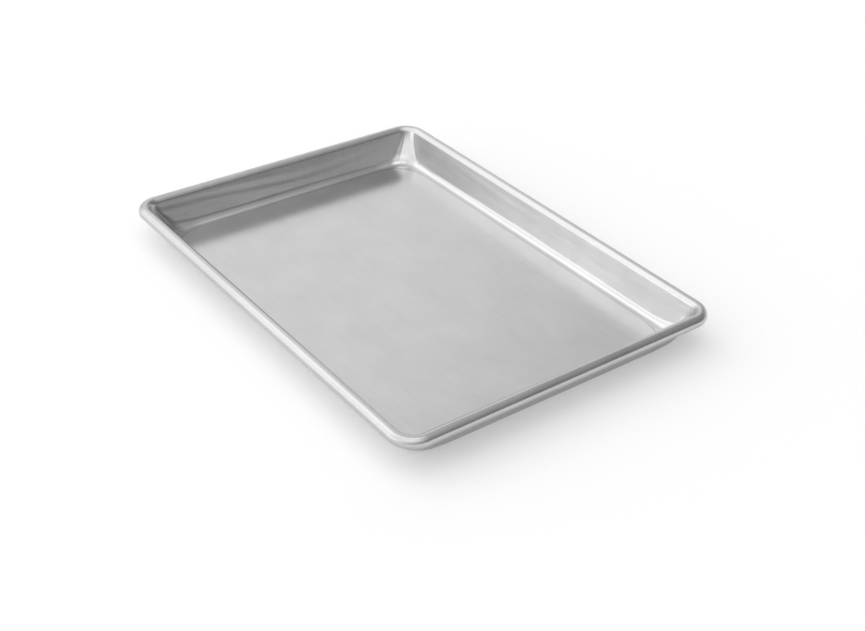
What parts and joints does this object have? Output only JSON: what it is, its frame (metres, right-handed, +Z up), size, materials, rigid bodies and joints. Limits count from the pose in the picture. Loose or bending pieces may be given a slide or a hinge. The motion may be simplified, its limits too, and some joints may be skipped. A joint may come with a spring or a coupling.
{
  "type": "cookie sheet",
  "caption": "Rectangular aluminium baking sheet with a flat floor, low flared walls, rounded corners and a rim curled round a hidden steel wire.",
  "frame": {"origin": "centre of the underside, on the surface that the pan stands on", "axes": "+X along the long side, +Y along the short side, +Z up, out of the open well"},
  "size_m": [0.3302, 0.2414, 0.0254],
  "materials": {
    "satin_aluminium": "satin mill finish, fine brushing along the long side, bright on the rim",
    "steel_wire": "plain drawn wire, hidden inside the curled rim"
  },
  "bodies": {
    "root": {"pan_shell": "satin_aluminium", "rim_wire": "steel_wire"}
  },
  "joints": []
}
